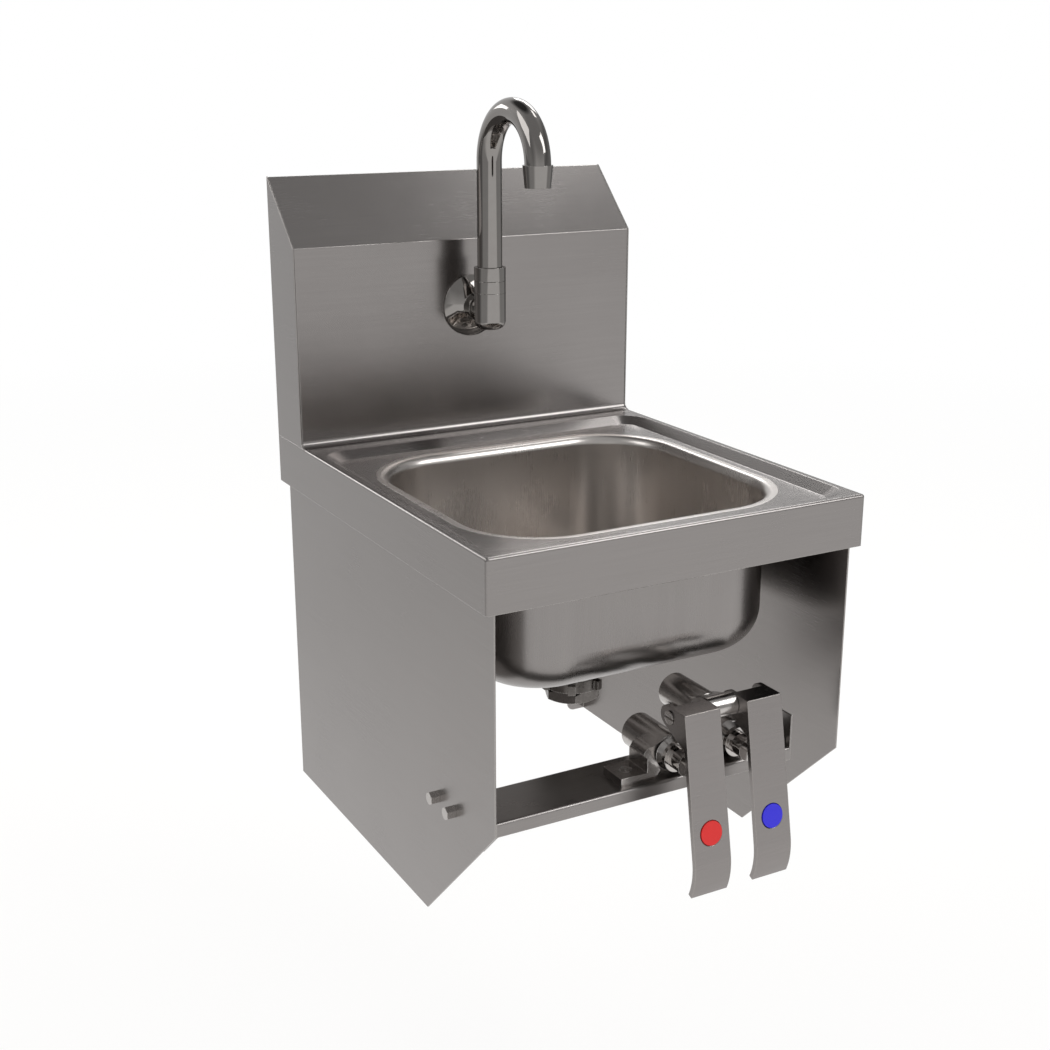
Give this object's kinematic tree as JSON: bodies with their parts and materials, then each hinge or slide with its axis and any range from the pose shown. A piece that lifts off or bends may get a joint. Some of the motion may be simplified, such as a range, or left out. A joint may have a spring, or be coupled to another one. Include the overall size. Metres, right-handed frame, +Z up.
{
  "type": "wall-mounted hand wash sink with knee valve",
  "caption": "Wall-hung stainless hand sink with a drawn bowl, tall backsplash, swivel gooseneck faucet, open side panels and a hot and cold knee-lever valve.",
  "frame": {"origin": "midway between the two screw holes of the wall bracket, on the wall plane", "axes": "+X to the right of someone who faces the sink, +Y into the wall, +Z up"},
  "size_m": [0.3556, 0.4789, 0.6718],
  "materials": {
    "satin_steel": "satin brushed stainless sheet",
    "bowl_steel": "drawn and polished stainless",
    "shelf_steel": "brushed stainless strip",
    "bracket_steel": "bent stainless strip",
    "fastener_steel": "bright machined steel",
    "drain_steel": "spun and polished stainless",
    "drain_nut_metal": "dark cast metal nuts",
    "chrome": "polished chrome on brass",
    "valve_chrome": "chrome on a smooth casting",
    "bonnet_chrome": "polished chrome on turned brass",
    "brass": "turned brass",
    "stem_steel": "turned stainless",
    "spring_steel": "stainless spring wire",
    "lever_steel": "satin brushed stainless plate",
    "rubber": "black rubber",
    "white_plastic": "white moulded plastic",
    "red_enamel": "red index disc",
    "blue_enamel": "blue index disc"
  },
  "bodies": {
    "root": {"deck": "satin_steel", "backsplash": "satin_steel", "left_end_cap": "satin_steel", "right_end_cap": "satin_steel", "bowl": "bowl_steel", "wall_bracket": "bracket_steel", "left_side_panel": "satin_steel", "right_side_panel": "satin_steel", "panel_bolts": "fastener_steel", "panel_nuts": "fastener_steel", "valve_shelf": "shelf_steel", "shelf_bolts": "fastener_steel", "shelf_nuts": "fastener_steel", "strainer_body": "drain_steel", "strainer_grid": "drain_steel", "drain_gasket": "rubber", "bell_cup": "drain_steel", "drain_locknut": "drain_nut_metal", "coupling_washer": "white_plastic", "coupling_nut": "drain_nut_metal", "faucet_body": "chrome", "trim_ring": "chrome", "packing_nut": "chrome", "escutcheon": "chrome", "shank_seal": "rubber", "shank_washer": "fastener_steel", "shank_locknut": "brass", "valve_body": "valve_chrome", "foot_screws": "fastener_steel", "foot_nuts": "fastener_steel", "pivot_pin": "fastener_steel", "pivot_clip": "fastener_steel", "hot_bonnet": "bonnet_chrome", "cold_bonnet": "bonnet_chrome", "bonnet_seals": "rubber", "stem_orings": "rubber", "spring_retainers": "stem_steel", "hot_spring": "spring_steel", "cold_spring": "spring_steel"},
    "swivel_spout": {"spout": "chrome", "spout_orings": "rubber", "aerator_housing": "chrome", "aerator_insert": "white_plastic", "aerator_washer": "rubber"},
    "hot_knee_lever": {"hot_lever": "lever_steel", "hot_index": "red_enamel"},
    "cold_knee_lever": {"cold_lever": "lever_steel", "cold_index": "blue_enamel"},
    "hot_valve_stem": {"hot_stem": "stem_steel", "hot_seat_washer": "rubber"},
    "cold_valve_stem": {"cold_stem": "stem_steel", "cold_seat_washer": "rubber"}
  },
  "joints": [
    {"name": "spout_swivel", "type": "hinge", "parent": "root", "child": "swivel_spout", "pos_m": [0, -0.1, -0.04], "axis": [0, 0, 1], "range_deg": [-150, 150]},
    {"name": "hot_lever_pivot", "type": "hinge", "parent": "root", "child": "hot_knee_lever", "pos_m": [0.0025, -0.4355, -0.363], "axis": [1, 0, 0], "range_deg": [0, 9], "stiffness_Nm_per_rad": 3.4, "springref_deg": -8.02},
    {"name": "cold_lever_pivot", "type": "hinge", "parent": "root", "child": "cold_knee_lever", "pos_m": [0.0635, -0.4355, -0.363], "axis": [1, 0, 0], "range_deg": [0, 9], "stiffness_Nm_per_rad": 3.4, "springref_deg": -8.02},
    {"name": "hot_stem_slide", "type": "slide", "parent": "root", "child": "hot_valve_stem", "axis": [0, 1, 0], "range_m": [0, 0.0078], "deforming": ["hot_spring"]},
    {"name": "cold_stem_slide", "type": "slide", "parent": "root", "child": "cold_valve_stem", "axis": [0, 1, 0], "range_m": [0, 0.0078], "deforming": ["cold_spring"]}
  ],
  "couplings": [
    {"joint": "hot_stem_slide", "follows": "hot_lever_pivot", "m_per_rad": 0.0462},
    {"joint": "cold_stem_slide", "follows": "cold_lever_pivot", "m_per_rad": 0.0462}
  ]
}
